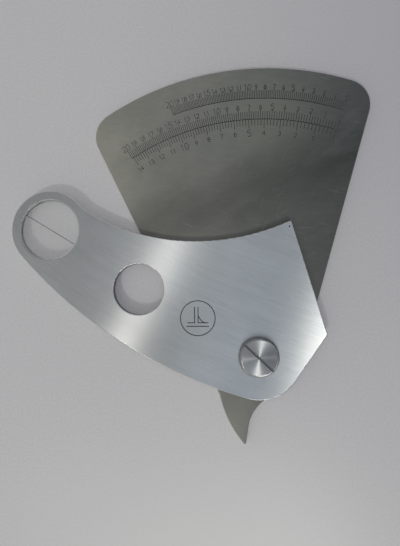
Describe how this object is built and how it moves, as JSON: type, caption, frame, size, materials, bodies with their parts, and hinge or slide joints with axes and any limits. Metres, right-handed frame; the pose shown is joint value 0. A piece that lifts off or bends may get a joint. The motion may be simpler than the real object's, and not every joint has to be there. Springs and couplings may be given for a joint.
{
  "type": "weld gauge",
  "caption": "Fan-type pivoting weld gauge: a steel handle plate with a hairline window turns on a slotted screw over a graduated sector plate with a pointed feeler nose.",
  "frame": {"origin": "on the pivot axis, in the back face that the gauge rests on", "axes": "+Z along the pivot axis, from the back plate to the screw head; +Y from the pivot up the middle of the fan; +X to the measuring edge's side"},
  "size_m": [0.1048, 0.1088, 0.0062],
  "materials": {
    "satin_steel": "satin, darkened, fine grained",
    "brushed_steel": "cross-brushed stainless",
    "turned_steel": "face-turned",
    "bush_steel": "turned",
    "spring_steel": "rolled spring strip",
    "bronze": "rolled bronze sheet",
    "clear_window": "clear, polished, bevelled rim"
  },
  "bodies": {
    "fan": {"sector_plate": "satin_steel", "pivot_bush": "bush_steel", "friction_washer": "bronze", "spring_washer": "spring_steel", "pivot_screw": "turned_steel"},
    "handle": {"handle_plate": "brushed_steel", "window_disc": "clear_window"}
  },
  "joints": [
    {"name": "pivot", "type": "hinge", "parent": "fan", "child": "handle", "pos_m": [0, 0, 0.0032], "axis": [0, 0, 1], "range_deg": [-80, 15]}
  ]
}
